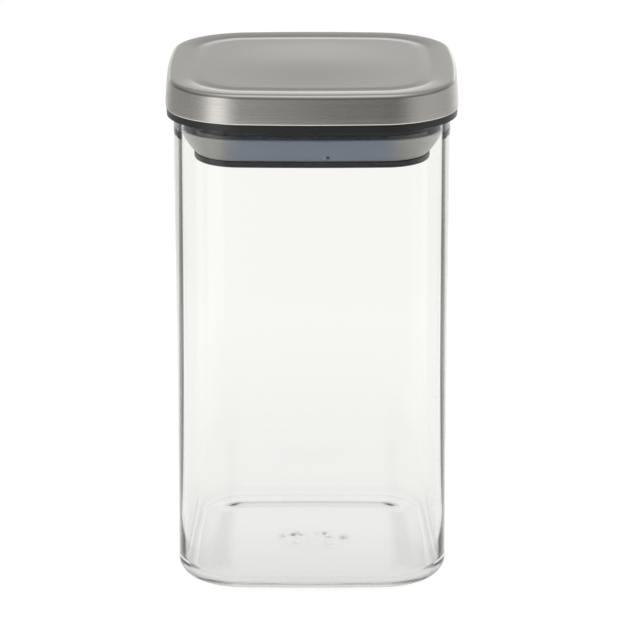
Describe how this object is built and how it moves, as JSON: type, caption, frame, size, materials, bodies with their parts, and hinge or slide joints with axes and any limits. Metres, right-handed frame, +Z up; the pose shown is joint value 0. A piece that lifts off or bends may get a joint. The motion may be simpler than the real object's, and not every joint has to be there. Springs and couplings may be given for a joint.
{
  "type": "lidded storage jar",
  "caption": "Tall square glass storage jar with round corners and a lift-out lid: a steel cap on a moulded core, sealed by a flared silicone collar.",
  "frame": {"origin": "middle of the foot, on the surface that the jar stands on", "axes": "+Z up through the lid, -Y towards the viewer, +X to the viewer's right"},
  "size_m": [0.105, 0.105, 0.1855],
  "materials": {
    "clear_glass": "clear borosilicate glass, fire polished",
    "brushed_steel": "stainless sheet, fine straight brushing, pressed",
    "black_plastic": "moulded plastic, satin",
    "silicone": "translucent moulded silicone, satin"
  },
  "bodies": {
    "jar": {"glass_jar": "clear_glass"},
    "lid": {"steel_cap": "brushed_steel", "lid_core": "black_plastic", "silicone_seal": "silicone", "end_plate": "black_plastic"}
  },
  "joints": [
    {"name": "lid_lift", "type": "slide", "parent": "jar", "child": "lid", "axis": [0, 0, 1], "range_m": [0, 0.18]}
  ]
}
